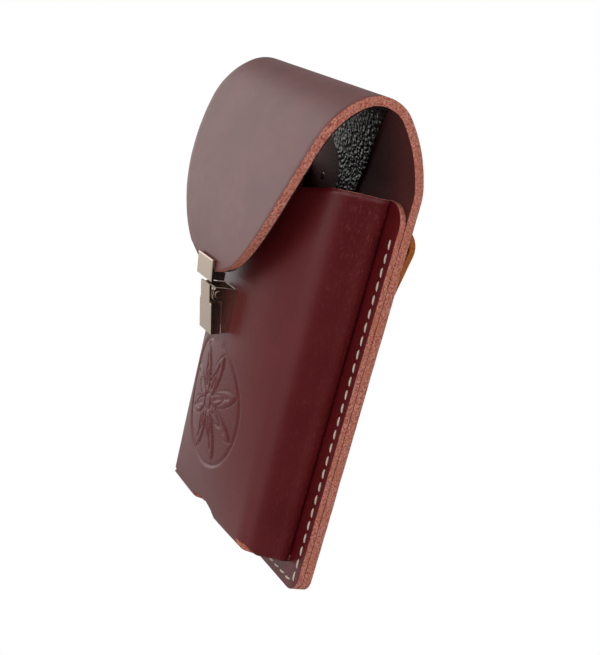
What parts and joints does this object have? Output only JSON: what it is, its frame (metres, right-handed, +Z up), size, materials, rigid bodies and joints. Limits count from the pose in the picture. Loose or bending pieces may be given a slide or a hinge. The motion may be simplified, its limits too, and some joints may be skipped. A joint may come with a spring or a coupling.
{
  "type": "belt-worn leather instrument case",
  "caption": "Tall moulded leather belt case with a thick over-the-top flap, a sewn flange, a rear belt loop and a nickel lever catch.",
  "frame": {"origin": "middle of the belt inside the belt loop, on the rear face of the back panel, on the case's middle line", "axes": "+X across the case to the right seen from the front, +Y out of the case's back, +Z up"},
  "size_m": [0.1064, 0.0746, 0.2006],
  "materials": {
    "bridle_leather": "burgundy brown bridle leather, waxed grain",
    "moulded_leather": "oxblood wet-moulded leather, satin",
    "black_lining": "black pebbled leather",
    "tan_strap": "natural tan strap leather",
    "nickel": "warm nickel plate, polished",
    "spring_steel": "plain steel",
    "thread": "waxed natural linen thread"
  },
  "bodies": {
    "case": {"back_panel": "bridle_leather", "pocket_front": "moulded_leather", "belt_loop": "tan_strap", "belt_loop_rivets": "nickel", "seam_thread_right": "thread", "seam_thread_left": "thread", "seam_thread_bottom": "thread", "catch_base": "nickel", "catch_backing_plate": "spring_steel", "catch_rivets": "nickel", "lever_spring": "spring_steel", "lever_pin": "nickel"},
    "flap": {"flap_leather": "bridle_leather", "flap_lining": "black_lining", "tongue_plate": "nickel", "tongue_backing_plate": "spring_steel", "tongue_rivets": "nickel"},
    "lever": {"catch_lever": "nickel"}
  },
  "joints": [
    {"name": "flap_bend", "type": "hinge", "parent": "case", "child": "flap", "pos_m": [0, 0, 0.044], "axis": [-1, 0, 0], "range_deg": [0, 120]},
    {"name": "lever_pivot", "type": "hinge", "parent": "case", "child": "lever", "pos_m": [0, -0.05081, -0.01387], "axis": [-1, 0, 0], "range_deg": [0, 80], "stiffness_Nm_per_rad": 0.01, "springref_deg": -17.19}
  ]
}
